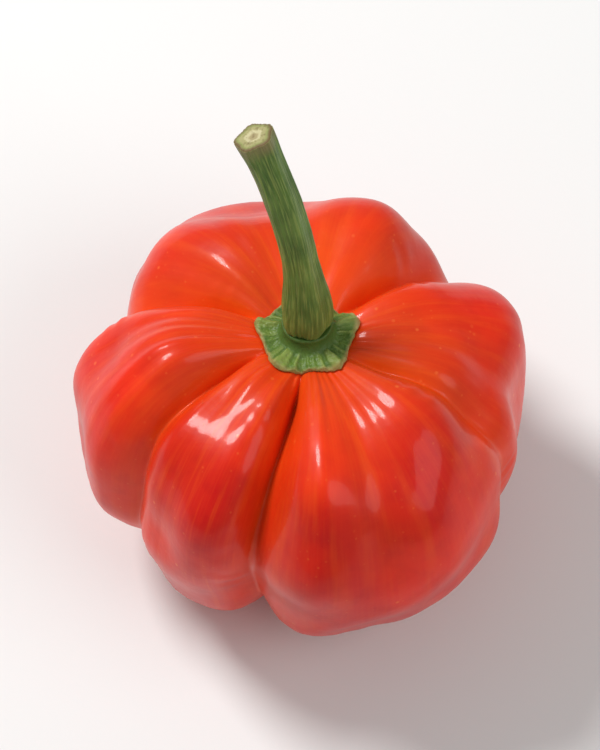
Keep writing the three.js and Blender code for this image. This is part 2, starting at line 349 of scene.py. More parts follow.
# %% Pleats and growth lines
PLEATS = {"height": 0.3, "counts": (11, 19, 31, 46), "seed": 3}
PLEATS_FROM, PLEATS_TO = {"start": 12, "end": 20}, {"start": 26, "end": 70}
GROWTH_LINES = {"height": 0.03, "counts": (29, 41, 67), "seed": 8}
LINES_FROM, LINES_TO = {"start": 20, "end": 50}, {"start": 140, "end": 168}
SLOW_WAVES = (2, 5)  # the slow waves round the pod are drawn from 2 up to, but not with, 5
SIDEWAYS_PUSH = 3.0
DOWNWARD_PUSH = {"height": 0.7, "waves": 5}


def uneven_waves(polar, turn, height, counts, seed):
    """Upright waves round the pod. Slower waves push each one about and make it come and go."""
    draw = np.random.default_rng(seed)
    downward = np.radians(DOWNWARD_PUSH["waves"] * polar)
    total = 0
    for count in counts:
        phases = draw.uniform(0, 2 * np.pi, 4)
        slow = draw.integers(*SLOW_WAVES, 2)
        push = SIDEWAYS_PUSH * np.sin(slow[0] * turn + phases[0])
        push = push + DOWNWARD_PUSH["height"] * np.sin(downward + phases[1])
        strength = 0.5 + 0.5 * np.sin(slow[1] * turn + phases[2])
        total = total + strength * np.cos(count * turn + push + phases[3]) / count
    return height * total * min(counts)


def upright_relief(polar, turn):
    """Pleats near the calyx and growth lines all the way down."""
    near_crown = ease(polar, **PLEATS_FROM) * (1 - ease(polar, **PLEATS_TO))
    body = ease(polar, **LINES_FROM) * (1 - ease(polar, **LINES_TO))
    pleats = near_crown * uneven_waves(polar, turn, **PLEATS)
    return pleats + body * uneven_waves(polar, turn, **GROWTH_LINES)


print("pleats", PLEATS["height"], "mm and growth lines", GROWTH_LINES["height"], "mm high")

# %% Puckers beside the furrows
PUCKERS = {"spacing": 2.6, "slant": 0.25, "sway": 0.8}
PUCKER_BAND = {"height": 0.11, "at": 1.7, "width": 1.2}
PUCKERS_FROM, PUCKERS_TO = {"start": 24, "end": 40}, {"start": 135, "end": 160}
SWAY_NOISE = {"size": 6.0, "shift": 31.0}
PUCKERED_PATCHES = {"size": 5.0, "shift": 57.0}
PATCH_EDGE = {"start": 0.05, "end": 0.45}


def blender_noise(points, size, shift=0.0):
    """Blender's noise at each point, about -1 to 1, with features of this size. A shift gives another."""
    flat = ((points + shift) / size).reshape(-1, 3)
    heights = [noise.noise(Vector(point)) for point in flat]
    return np.array(heights).reshape(points.shape[:-1])


def pucker_relief(points, polar, side):
    """Short ripples that cross the side of a furrow here and there. side is in millimetres."""
    down = np.radians(polar) * HALF_WIDTH
    sway = blender_noise(points, **SWAY_NOISE)
    waves = down / PUCKERS["spacing"] + PUCKERS["slant"] * side + PUCKERS["sway"] * sway
    here = ease(blender_noise(points, **PUCKERED_PATCHES), **PATCH_EDGE)
    along = ease(polar, **PUCKERS_FROM) * (1 - ease(polar, **PUCKERS_TO))
    return hump(side, **PUCKER_BAND) * np.sin(2 * np.pi * waves) * here * along


print(f"puckers every {PUCKERS['spacing']} mm, {PUCKER_BAND['at']} mm beside the furrows")

# %% Dents and unevenness
DENTS = {"count": 70, "widths": (1.6, 5.0), "shallowest": 0.02, "deepest": 0.07, "seed": 21}
DENT_LEVEL = 0.9  # how far out the dents' middles are, as a share of half the pod's width
GRAIN = [{"height": 0.16, "size": 7.0}, {"height": 0.05, "size": 3.2}, {"height": 0.012, "size": 1.2}]


def dent_relief(points):
    """Soft dents, scattered at random over the skin. A dent's depth is a share of its width."""
    draw = np.random.default_rng(DENTS["seed"])
    total = np.zeros(points.shape[:-1])
    for _ in range(DENTS["count"]):
        place = draw.normal(size=3)
        place *= HALF_WIDTH * DENT_LEVEL / np.linalg.norm(place)
        width = draw.uniform(*DENTS["widths"])
        depth = draw.uniform(DENTS["shallowest"], DENTS["deepest"]) * width
        away = np.linalg.norm(points - place, axis=-1)
        total -= depth * np.exp(-((away / width) ** 2))
    return total


def grain_relief(points):
    """Unevenness in all directions, from soft lumps down to fine grain."""
    return sum(grain["height"] * blender_noise(points, grain["size"]) for grain in GRAIN)


print(DENTS["count"], "dents, the widest", DENTS["widths"][1], "mm from middle to edge")

# %% [markdown]
# ## The pod
#
# The pod grew as one piece, so it is one mesh. The fine grid is closed into it: quads between the
# rows, and a fan of triangles at the crown and at the base. A ball could be sculpted or pushed about
# by a modifier instead, but its points wouldn't run along the furrows. Some numbers go with every
# point as attributes, so that the skin's colours can follow the form: how deep in a crease it is, how
# far down the pod, and where it is on a turn round the pod that follows the furrows.


# %% Close a grid of points into a mesh
def closed_mesh(name, points, numbers):
    """Makes a closed, smooth mesh of rows of points. The first and the last row are single points."""
    rows, columns = points.shape[0] - 1, points.shape[1]

    def flatten(values):
        """One value for each point: the first pole's, the rings' and the last pole's."""
        rings = values[1:-1].reshape(-1, *values.shape[2:])
        return np.concatenate([values[:1, 0], rings, values[-1:, 0]])

    def index(row, column):
        """The number of a ring's point. The column after the last one is the first again."""
        return 1 + (row - 1) * columns + column % columns

    last = 1 + (rows - 1) * columns
    faces = [(0, index(1, c), index(1, c + 1)) for c in range(columns)]
    for row in range(1, rows - 1):
        for c in range(columns):
            faces.append((index(row, c), index(row + 1, c), index(row + 1, c + 1), index(row, c + 1)))
    faces += [(index(rows - 1, c), last, index(rows - 1, c + 1)) for c in range(columns)]
    mesh = bpy.data.meshes.new(name)
    mesh.from_pydata(flatten(points).tolist(), [], faces)
    for key, values in numbers.items():
        attribute = mesh.attributes.new(key, "FLOAT", "POINT")
        attribute.data.foreach_set("value", flatten(values).astype(np.float32))
    mesh.shade_smooth()
    return mesh


def add_piece(name, mesh, material):
    """Puts a mesh in the scene as a piece at the origin."""
    piece = bpy.data.objects.new(name, mesh)
    bpy.context.scene.collection.objects.link(piece)
    if material:
        mesh.materials.append(material)
    return piece


print("two helpers are ready: closed_mesh() and add_piece()")

# %% The relief on the fine grid
FINE_GRID = {"columns_per_lobe": 72, "rows": 240}
RELIEF_START = {"start": 13, "end": 22}
SCAR_START = {"start": 172, "end": 176}

polar, around = pod_grid(**FINE_GRID)
lobe, across, lobe_width = lobe_at(polar, around)
turn = 2 * np.pi * (lobe + across) / len(FURROWS)
skin_radius, full = pod_radius(polar, around)
ring_radius = skin_radius * np.sin(np.radians(polar))
side = np.minimum(across, 1 - across) * np.radians(lobe_width) * ring_radius
surface = directions(polar, around) * skin_radius[..., None]
relief = upright_relief(polar, turn) + pucker_relief(surface, polar, side)
relief += dent_relief(surface) + grain_relief(surface)
relief *= ease(polar, **RELIEF_START) * (1 - ease(polar, **SCAR_START))
print(f"relief from {relief.min():.2f} to {relief.max():.2f} mm")

# %% Make the pod
DEEPEST_CREASE = 0.17  # the depth at which a crease takes its full colour, as furrow_depth() counts it

pod_points = lean(on_pod(polar, around, relief))
pod_points[..., 2] = np.maximum(pod_points[..., 2], 0)
crease = (1 - full) * furrow_depth(polar) + fold_depth(polar, around)
numbers = {
    "crease": np.clip(crease / DEEPEST_CREASE, 0, 1),
    "down": polar / 180,
    "turn_east": np.cos(turn),
    "turn_north": np.sin(turn),
}
pod_mesh = closed_mesh("pepper_pod", to_frame(pod_points), numbers)
pod_triangles = len(pod_mesh.loops) - 2 * len(pod_mesh.polygons)
print(f"the pod has {len(pod_mesh.vertices)} points and {pod_triangles} triangles")

# %% [markdown]
# ## Sums on sockets
#
# A material is a tree of nodes, and every sum in it is a Math node. Wiring those by hand hides the
# thinking, so a small class wraps a node's output and lets Python's own operators add the Math nodes.
# A second class makes every other node with one method. Geometry Nodes share the same Math nodes, so
# both classes serve the calyx and the stem as well.


# %% A small class for sums
class Wire:
    """One output of a node, which Python's operators can do sums on."""

    def __init__(self, tree, socket):
        self.tree = tree
        self.socket = socket

    def maths(self, operation, *values):
        """Adds the Math node that does this operation on these values."""
        inputs = dict(enumerate(values))
        return self.tree.node("ShaderNodeMath", {"operation": operation}, inputs)

    def __add__(self, other):
        return self.maths("ADD", self, other)

    def __sub__(self, other):
        return self.maths("SUBTRACT", self, other)

    def __rsub__(self, other):
        return self.maths("SUBTRACT", other, self)

    def __mul__(self, other):
        return self.maths("MULTIPLY", self, other)

    def __truediv__(self, other):
        return self.maths("DIVIDE", self, other)

    def __pow__(self, other):
        return self.maths("POWER", self, other)

    __radd__ = __add__
    __rmul__ = __mul__

    def cosine(self):
        return self.maths("COSINE", self)

    def sine(self):
        return self.maths("SINE", self)

    def wave(self):
        """1 where this angle is a whole number of turns, 0 halfway between, and smooth in between."""
        return self.cosine() * 0.5 + 0.5

    def hump(self, height, at, width):
        """The same smooth hump as hump(), made of nodes."""
        away = (self - at) / width
        return self.maths("EXPONENT", away * away * -1) * height


print("a wire also knows", ", ".join(name for name in vars(Wire) if not name.startswith("_")))


# %% A small class for every other node
class Tree:
    """A node tree, with one method that makes any node in it."""

    def __init__(self, tree):
        self.tree = tree

    def node(self, kind, settings=None, inputs=None, output=0):
        """Makes a node, sets it first, fills its sockets by name or number, and gives one output."""
        made = self.tree.nodes.new(kind)
        for key, value in (settings or {}).items():
            if key == "stops":
                self.set_stops(made.color_ramp, value)
            elif key == "curve":
                self.set_curve(made.mapping, value)
            else:
                setattr(made, key, value)
        for key, value in (inputs or {}).items():
            if isinstance(value, Wire):
                self.tree.links.new(value.socket, made.inputs[key])
            else:
                made.inputs[key].default_value = value
        return Wire(self, made.outputs[output]) if len(made.outputs) else None

    def set_stops(self, ramp, stops):
        """Gives a colour ramp these stops, each a position and a colour."""
        while len(ramp.elements) < len(stops):
            ramp.elements.new(0.5)
        for element, (position, colour) in zip(ramp.elements, stops):
            element.position = position
            element.color = colour

    def set_curve(self, mapping, places):
        """Leads a curve through these places, each a pair of numbers from 0 to 1."""
        points = mapping.curves[0].points
        while len(points) < len(places):
            points.new(0.5, 0.5)
        for point, place in zip(points, places):
            point.location = place
        mapping.update()

    def step(self, value, start, end):
        """The same smooth step as ease(), made of nodes."""
        inputs = {"Value": value, "From Min": start, "From Max": end}
        return self.node("ShaderNodeMapRange", {"interpolation_type": "SMOOTHSTEP"}, inputs)

    def mix(self, factor, first, second):
        """Mixes two colours. The colour sockets of a Mix node are numbers 6 and 7, and output 2."""
        inputs = {0: factor, 6: first, 7: second}
        return self.node("ShaderNodeMix", {"data_type": "RGBA"}, inputs, output=2)

    def noise(self, place, scale, detail=2.0):
        """Noise from about 0 to 1, with so many features to one unit of the place."""
        inputs = {"Vector": place, "Scale": scale, "Detail": detail}
        return self.node("ShaderNodeTexNoise", None, inputs)

    def patches(self, place, scale, start, end, detail=2.0):
        """Noise cleared into soft patches: 0 where it is below start, and 1 where it is above end."""
        return self.step(self.noise(place, scale, detail), start, end)

    def vector(self, x, y, z):
        """A vector of three numbers."""
        return self.node("ShaderNodeCombineXYZ", None, {0: x, 1: y, 2: z})

    def part(self, vector, axis):
        """One number of a vector: X, Y or Z."""
        return self.node("ShaderNodeSeparateXYZ", None, {0: vector}, output=axis)

    def times(self, vector, factor):
        """A vector made so many times as long."""
        settings, inputs = {"operation": "SCALE"}, {0: vector, "Scale": factor}
        return self.node("ShaderNodeVectorMath", settings, inputs, output="Vector")

    def plus(self, first, second):
        """The sum of two vectors."""
        return self.node("ShaderNodeVectorMath", {"operation": "ADD"}, {0: first, 1: second})

    def keep(self, geometry, name, value):
        """Keeps a number at every point of the geometry, as an attribute that materials can read."""
        settings = {"data_type": "FLOAT", "domain": "POINT"}
        inputs = {"Geometry": geometry, "Name": name, "Value": value}
        return self.node("GeometryNodeStoreNamedAttribute", settings, inputs)


print("a tree knows", ", ".join(name for name in vars(Tree) if not name.startswith("_")))

# %% [markdown]
# ## The skin
#
# Ripe skin is a clear wax over a deep red flesh. The flesh glows a little, so some light is scattered
# under the surface, and the wax is a thin, smooth coat over a slightly softer gloss. The red isn't one
# red: deeper clouds drift over the lobes, and it runs to orange in the furrows, round the calyx and in
# faint upright streaks, where the skin ripened last. Bumps finer than a mesh could hold come from
# noise: a soft orange-peel, and pin-sized pale flecks that stand a little proud.
#
# A picture of skin could be wrapped round the pod, but it would stretch at the crown and blur close
# up. Noise on the pod's own coordinates does neither, and it has no seam.
#
# Colours are written as they look on a screen and turned into the linear values that Blender wants.


# %% Helpers for materials
def screen(red, green, blue):
    """A screen colour, 0 to 255 each, as linear values from 0 to 1."""
    shares = (value / 255 for value in (red, green, blue))
    linear = (s / 12.92 if s <= 0.04045 else ((s + 0.055) / 1.055) ** 2.4 for s in shares)
    return (*linear, 1.0)


def new_material(name):
    """An empty material, its tree, and the place of each point on the piece, in metres."""
    material = bpy.data.materials.new(name)
    material.use_nodes = True
    material.node_tree.nodes.clear()
    tree = Tree(material.node_tree)
    return material, tree, tree.node("ShaderNodeTexCoord", output="Object")


def number(tree, name):
    """An attribute of the piece's own mesh."""
    return tree.node("ShaderNodeAttribute", {"attribute_name": name}, output="Fac")


def dress(tree, height, distance, inputs):
    """Ends a material's tree in one Principled surface, with a height in metres for its bumps."""
    bump = {"Height": height, "Distance": distance, "Strength": 1.0}
    inputs["Normal"] = tree.node("ShaderNodeBump", None, bump)
    surface = tree.node("ShaderNodeBsdfPrincipled", None, inputs)
    tree.node("ShaderNodeOutputMaterial", None, {"Surface": surface})


print("half grey in linear values:", tuple(round(v, 3) for v in screen(128, 128, 128)))

# %% The skin's colours
SCARLET = screen(228, 38, 10)
DEEP_RED = screen(196, 14, 12)
ORANGE = screen(240, 94, 18)
PALE_ORANGE = screen(246, 140, 66)
SCAR_BROWN = screen(120, 82, 44)

for name, colour in {"deep red": DEEP_RED, "scarlet": SCARLET, "orange": ORANGE}.items():
    print(name, "is", tuple(round(value, 3) for value in colour[:3]))

# %% Where the skin takes each colour
DEEP_CLOUDS = {"scale": 70, "start": 0.38, "end": 0.62}
DEEP_MOTTLE = {"scale": 450, "start": 0.4, "end": 0.7, "detail": 3.0}
DEEP_SHARES = {"clouds": 0.75, "mottle": 0.25}
LATE_STREAKS = {"around": 14, "down": 8, "start": 0.45, "end": 0.75, "detail": 3.0}
LATE_FIBRES = {"around": 70, "down": 14, "start": 0.42, "end": 0.7}
NEAR_CROWN = {"start": 0.1, "end": 0.34}
LATE_SHARES = {"streaks": 0.2, "fibres": 0.06, "crease": 0.4, "crown": 0.34}
FLECK_PALENESS = 0.4


def upright_patches(tree, around, down, **patches):
    """Patches that are long up and down the pod. They have no seam where a turn begins."""
    east, north = number(tree, "turn_east"), number(tree, "turn_north")
    place = tree.vector(east * around, north * around, number(tree, "down") * down)
    return tree.patches(place, 1.0, **patches)


def skin_colour(tree, place, flecks, scar):
    """Scarlet, with deep red clouds, orange where the skin ripened last, pale flecks and a brown scar."""
    clouds, mottle = tree.patches(place, **DEEP_CLOUDS), tree.patches(place, **DEEP_MOTTLE)
    deep = clouds * DEEP_SHARES["clouds"] + mottle * DEEP_SHARES["mottle"]
    late = upright_patches(tree, **LATE_STREAKS) * LATE_SHARES["streaks"]
    late += upright_patches(tree, **LATE_FIBRES) * LATE_SHARES["fibres"]
    late += number(tree, "crease") * LATE_SHARES["crease"]
    late += (1 - tree.step(number(tree, "down"), **NEAR_CROWN)) * LATE_SHARES["crown"]
    coloured = tree.mix(late, tree.mix(deep, SCARLET, DEEP_RED), ORANGE)
    flecked = tree.mix(flecks * FLECK_PALENESS, coloured, PALE_ORANGE)
    return tree.mix(scar, flecked, SCAR_BROWN)


print("the orange from the crease and the crown:", LATE_SHARES["crease"], "and", LATE_SHARES["crown"])

# %% The skin's flecks, and the scar at the base
SPARSE_FLECKS = {"per_metre": 520, "radius": 0.14}
DENSE_FLECKS = {"per_metre": 1100, "radius": 0.2}
FLECK_CORE = 0.3  # how far out a fleck has its full strength, as a share of its radius
FLECK_STRENGTH = {"start": 0.35, "end": 1.0}  # a cell whose random number is below the start has none
SCAR = {"start": 0.974, "end": 0.984}
SCAR_EDGE = {"per_metre": 900, "ragged": 0.02}


def skin_flecks(tree, place, per_metre, radius):
    """Round flecks in scattered cells, sized as a share of a cell. Each has its own strength."""
    cells = {"Vector": place, "Scale": per_metre, "Randomness": 1.0}
    from_middle = tree.node("ShaderNodeTexVoronoi", None, cells)
    cell = tree.node("ShaderNodeTexVoronoi", None, cells, output="Color")
    strength = tree.step(tree.part(cell, "X"), **FLECK_STRENGTH)
    return (1 - tree.step(from_middle, radius * FLECK_CORE, radius)) * strength


def skin_scar(tree, place):
    """The ragged scar in the base's dimple, where the flower's tip dried and fell off."""
    ragged = (tree.noise(place, SCAR_EDGE["per_metre"]) - 0.5) * SCAR_EDGE["ragged"]
    return tree.step(number(tree, "down") + ragged, **SCAR)


for flecks in (SPARSE_FLECKS, DENSE_FLECKS):
    cell_width = 1000 / flecks["per_metre"]
    print(f"flecks about {cell_width:.1f} mm apart, {2 * flecks['radius'] * cell_width:.2f} mm across")


# %% The skin's material
DENSE_FLECKS_STRENGTH = 0.4
PEEL = {"scale": 800, "detail": 1.0}
FINE_PEEL = {"scale": 2600, "detail": 1.0}
PEEL_SHARES = {"fine": 0.3, "flecks": 0.4, "scar": 4}
SKIN_ROUGHNESS = {"least": 0.34, "cloudy": 0.16, "scar": 0.3}
ROUGHNESS_CLOUDS = 160
SKIN_BUMP = 0.03  # the height of the peel's bumps, in millimetres


def make_skin():
    """Waxy skin, flecked and clouded, with an orange-peel bump."""
    material, tree, place = new_material("pepper_skin")
    flecks = skin_flecks(tree, place, **SPARSE_FLECKS)
    flecks += skin_flecks(tree, place, **DENSE_FLECKS) * DENSE_FLECKS_STRENGTH
    scar = skin_scar(tree, place)
    fine = tree.noise(place, **FINE_PEEL)
    peel = tree.noise(place, **PEEL) + fine * PEEL_SHARES["fine"] + flecks * PEEL_SHARES["flecks"]
    peel += scar * fine * PEEL_SHARES["scar"]
    rough = SKIN_ROUGHNESS["least"] + tree.noise(place, ROUGHNESS_CLOUDS) * SKIN_ROUGHNESS["cloudy"]
    surface = {
        "Base Color": skin_colour(tree, place, flecks, scar),
        "Roughness": rough + scar * SKIN_ROUGHNESS["scar"],
        "IOR": 1.36,
        "Specular IOR Level": 0.25,
        "Subsurface Weight": 0.15,
        "Subsurface Radius": (1.0, 0.22, 0.08),
        "Subsurface Scale": 0.0014,
        "Coat Weight": 0.34,
        "Coat Roughness": 0.11,
        "Coat IOR": 1.4,
    }
    dress(tree, peel, SKIN_BUMP * MM, surface)
    return material


skin = make_skin()
pod = add_piece("pepper_pod", pod_mesh, skin)
print(skin.name, "has", len(skin.node_tree.nodes), "nodes")

# %% [markdown]
# ## The calyx
#
# The calyx is the leafy collar that once held the flower. It lies on the crown like wet leather: it
# follows every pleat beneath it, runs out into five blunt teeth, and rises in the middle into a neck
# that the stem grows from. A Shrinkwrap modifier could press a finished collar onto the skin, but it
# would pull the neck down too. Geometry Nodes can do it point by point. A flat grid is bent round into
# rings, each point looks straight down the crown's axis for the skin below it, and is set down on it,
# as much above the skin as the collar's section says. Two curves draw that section, from the middle
# of the neck's top, out to the margin, and back underneath.

# %% The crown's own directions
ABOVE_CROWN = 45.0  # how far up the pepper's axis the collar's points look down from

crown_lean = math.radians(CROWN_LEAN)
crown_up = Vector((0, math.sin(crown_lean), math.cos(crown_lean)))
crown_back = Vector((0, math.cos(crown_lean), -math.sin(crown_lean)))
above_crown = Vector(to_frame(lean(np.array([0, 0, ABOVE_CROWN]))))
print("the crown looks towards", tuple(round(v, 3) for v in crown_up))


# %% Start a Geometry Nodes tree with named inputs, and grow a piece from it
def new_shape_tree(name, inputs):
    """A Geometry Nodes tree with these named inputs, and the wires that they come in by."""
    group = bpy.data.node_groups.new(name, "GeometryNodeTree")
    group.interface.new_socket("Geometry", in_out="OUTPUT", socket_type="NodeSocketGeometry")
    for key, kind in inputs.items():
        group.interface.new_socket(key, in_out="INPUT", socket_type="NodeSocket" + kind)
    tree = Tree(group)
    source = group.nodes.new("NodeGroupInput")
    return tree, {key: Wire(tree, source.outputs[key]) for key in inputs}


def finish_shape(tree, geometry, material):
    """Ends the tree: real geometry, smooth, in its material."""
    real = tree.node("GeometryNodeRealizeInstances", None, {"Geometry": geometry})
    smooth = tree.node("GeometryNodeSetShadeSmooth", None, {"Geometry": real})
    painted = tree.node("GeometryNodeSetMaterial", None, {"Geometry": smooth, "Material": material})
    tree.node("NodeGroupOutput", None, {"Geometry": painted})


def grow(name, tree, values):
    """Runs the tree once on an empty piece, keeps the result as its mesh and drops the modifier."""
    piece = add_piece(name, bpy.data.meshes.new(name), None)
    modifier = piece.modifiers.new("grow", "NODES")
    modifier.node_group = tree.tree
    for item in tree.tree.interface.items_tree:
        if item.in_out == "INPUT":
            modifier[item.identifier] = values[item.name]
    graph = bpy.context.evaluated_depsgraph_get()
    grown = piece.evaluated_get(graph)
    mesh = bpy.data.meshes.new_from_object(grown, preserve_all_data_layers=True, depsgraph=graph)
    piece.modifiers.clear()
    piece.data = mesh
    mesh.name = name
    print(f"{name}: {len(mesh.vertices)} points, sizes {[round(v / MM, 1) for v in piece.dimensions]} mm")
    return piece


print("a grown piece is a plain mesh, with no modifier left on it")

# %% The collar's section
SECTION_HEIGHT = 3.6  # the tallest lift that the section's curve can say, in millimetres
SECTION = [
    {"share": 0.0, "out": 0.0, "lift": 3.3},
    {"share": 0.1, "out": 0.43, "lift": 3.3},
    {"share": 0.15, "out": 0.48, "lift": 3.05},
    {"share": 0.22, "out": 0.475, "lift": 2.6},
    {"share": 0.3, "out": 0.505, "lift": 2.0},
    {"share": 0.4, "out": 0.6, "lift": 1.25},
    {"share": 0.52, "out": 0.76, "lift": 0.8},
    {"share": 0.64, "out": 0.91, "lift": 0.52},
    {"share": 0.72, "out": 0.985, "lift": 0.38},
    {"share": 0.77, "out": 1.0, "lift": 0.2},
    {"share": 0.81, "out": 0.97, "lift": 0.05},
    {"share": 0.9, "out": 0.6, "lift": 0.0},
    {"share": 1.0, "out": 0.0, "lift": 0.0},
]


def along_section(tree, share, key, most):
    """How far out or up the section is, at a share of the way along it."""
    curve = [(row["share"], row[key] / most) for row in SECTION]
    return tree.node("ShaderNodeFloatCurve", {"curve": curve}, {"Value": share}) * most


print("the section goes out and back in", len(SECTION), "steps")


# %% The collar's teeth, ribs and veins
WOBBLE = {"scale": 2.2, "detail": 1.0}
CRINKLE = {"scale": 9.0}
TOOTH = {"bluntness": 1.6, "wobble": 0.25}
MARGIN = {"wobble": 0.1, "crinkle": 0.05}
SKIRT_START, SKIRT_END = {"start": 0.5, "end": 0.62}, {"start": 0.66, "end": 0.74}
MAIN_RIB = {"sharpness": 14}
SIDE_RIBS = {"sharpness": 9, "height": 0.45}
VEINS = {"count": 37, "wobble": 10, "sharpness": 2, "height": 0.28}
SKIRT_UNEVEN = {"wobble": 0.35, "crinkle": 0.3}  # in millimetres


def collar_form(tree, given, angle, out, share):
    """How far the collar reaches from its middle, how raised its ribs are, and its uneven top."""
    place = tree.vector(angle.cosine(), angle.sine(), out)
    wobble, crinkle = tree.noise(place, **WOBBLE) - 0.5, tree.noise(place, **CRINKLE) - 0.5
    from_tooth = angle - given["First Tooth"]
    tooth = ((from_tooth + wobble * TOOTH["wobble"]) * given["Teeth"]).wave()
    bay = (1 - tooth ** TOOTH["bluntness"]) * given["Bay"]
    margin = wobble * MARGIN["wobble"] + crinkle * MARGIN["crinkle"] - bay
    reach = (1 + margin * out ** 3) * out * given["Width"] * 0.5
    skirt = tree.step(out, **SKIRT_START) * (1 - tree.step(share, **SKIRT_END))
    side_ribs = (1 - (from_tooth * given["Teeth"] * 2).wave()) ** SIDE_RIBS["sharpness"]
    veins = (angle * VEINS["count"] + wobble * VEINS["wobble"]).wave() ** VEINS["sharpness"]
    raised = tooth ** MAIN_RIB["sharpness"] + side_ribs * SIDE_RIBS["height"] + veins * VEINS["height"]
    uneven = wobble * SKIRT_UNEVEN["wobble"] + crinkle * SKIRT_UNEVEN["crinkle"]
    return reach, raised * skirt, uneven * skirt


print("a rib runs down the middle of each tooth, a smaller one on each side of it, and veins between")

# %% The collar's place on the skin
RAY_LENGTH = 100.0  # how far a point looks for the skin


def settle_on_pod(tree, given, angle, reach, height):
    """Looks down on the pod from above each point of the collar, and gives the place on the skin."""
    east = tree.vector(reach * angle.cosine(), 0.0, 0.0)
    back = tree.times(given["Back"], reach * angle.sine())
    pod_info = {"Object": given["Pod"]}
    ray = {
        "Target Geometry": tree.node("GeometryNodeObjectInfo", None, pod_info, output="Geometry"),
        "Source Position": tree.plus(given["Above"], tree.plus(east, back)),
        "Ray Direction": tree.times(given["Up"], -1.0),
        "Ray Length": RAY_LENGTH * MM,
    }
    below = tree.node("GeometryNodeRaycast", None, ray, output="Hit Position")
    return tree.plus(below, tree.times(given["Up"], height))


print(f"the collar's points look down from {ABOVE_CROWN:.0f} mm up the axis")

# %% The collar's tree
MERGE_DISTANCE = 0.002  # the grid's two edges meet within this, and so do the points at each pole


def calyx_tree():
    """A collar with teeth and ribs that settles onto the pod below it."""
    inputs = {
        "Pod": "Object", "Above": "Vector", "Up": "Vector", "Back": "Vector", "Width": "Float",
        "Teeth": "Float", "First Tooth": "Float", "Bay": "Float", "Rib Height": "Float",
        "Columns": "Int", "Rows": "Int", "Material": "Material",
    }
    tree, given = new_shape_tree("calyx_on_crown", inputs)
    sizes = {"Size X": 1.0, "Size Y": 1.0, "Vertices X": given["Columns"], "Vertices Y": given["Rows"]}
    grid = tree.node("GeometryNodeMeshGrid", None, sizes)
    flat = tree.node("GeometryNodeInputPosition")
    angle = (0.5 - tree.part(flat, "X")) * (2 * math.pi)
    share = tree.part(flat, "Y") + 0.5
    out = along_section(tree, share, "out", 1.0)
    lift = along_section(tree, share, "lift", SECTION_HEIGHT) * MM
    reach, raised, uneven = collar_form(tree, given, angle, out, share)
    height = lift + raised * given["Rib Height"] + uneven * MM
    for key, value in {"out": out, "raised": raised, "share": share}.items():
        grid = tree.keep(grid, key, value)
    place = settle_on_pod(tree, given, angle, reach, height)
    shaped = tree.node("GeometryNodeSetPosition", None, {"Geometry": grid, "Position": place})
    merging = {"Geometry": shaped, "Distance": MERGE_DISTANCE * MM}
    merged = tree.node("GeometryNodeMergeByDistance", None, merging)
    finish_shape(tree, merged, given["Material"])
    return tree


collar_tree = calyx_tree()
print("the calyx's tree has", len(collar_tree.tree.nodes), "nodes")

# %% [markdown]
# ## The calyx's finish
#
# The collar is dull green with a paler, slightly dried margin. Its ribs are paler than the leaf
# between them, partly their own colour and partly painted shade in the creases between them, and the
# neck is painted darkest, as painted shade where the stem stands in it. It has no wax to speak of, so
# its gloss is weak and broken. Colours could be painted on, but the tree above already knows where the
# ribs and the margin are, so it keeps those numbers at every point and the material reads them.

# %% The calyx's material
LEAF_GREEN = screen(94, 120, 44)
RIB_GREEN = screen(138, 154, 76)
# the darker green of the leaf's clouds, and the painted shade on the neck round the stem's foot
DARK_GREEN_AND_NECK_SHADE = screen(64, 94, 36)
MARGIN_TAN = screen(168, 150, 94)
GREEN_TISSUE = {"IOR": 1.4, "Subsurface Weight": 0.08, "Subsurface Radius": (0.4, 1.0, 0.2)}
LEAF_CLOUDS = {"scale": 420, "start": 0.35, "end": 0.7}
LEAF_MOTTLE = {"scale": 1900, "start": 0.4, "end": 0.7, "detail": 3.0}
LEAF_SHARES = {"clouds": 0.5, "mottle": 0.3}
# painted shade: the neck, round the stem's foot, is darkened
NECK_SHADE_END = {"start": 0.44, "end": 0.7}
NECK_PAINTED_SHADE = 0.7
# the ribs are paler: partly their own colour, partly painted shade in the creases between them
RIB_TOP = {"start": 0.1, "end": 0.8}
RIB_PALENESS_AND_CREASE_SHADE = 0.7
MARGIN_START = {"start": 0.86, "end": 1.0}
MARGIN_DRYNESS = {"least": 0.45, "cloudy": 0.5}
UNDERSIDE_START = {"start": 0.8, "end": 0.84}
CALYX_GRAIN = {"scale": 1500}
CALYX_FINE_GRAIN = {"scale": 5000, "detail": 1.0}
FINE_GRAIN_SHARE = 0.4
CALYX_ROUGHNESS = {"least": 0.44, "cloudy": 0.15}
CALYX_BUMP = 0.11


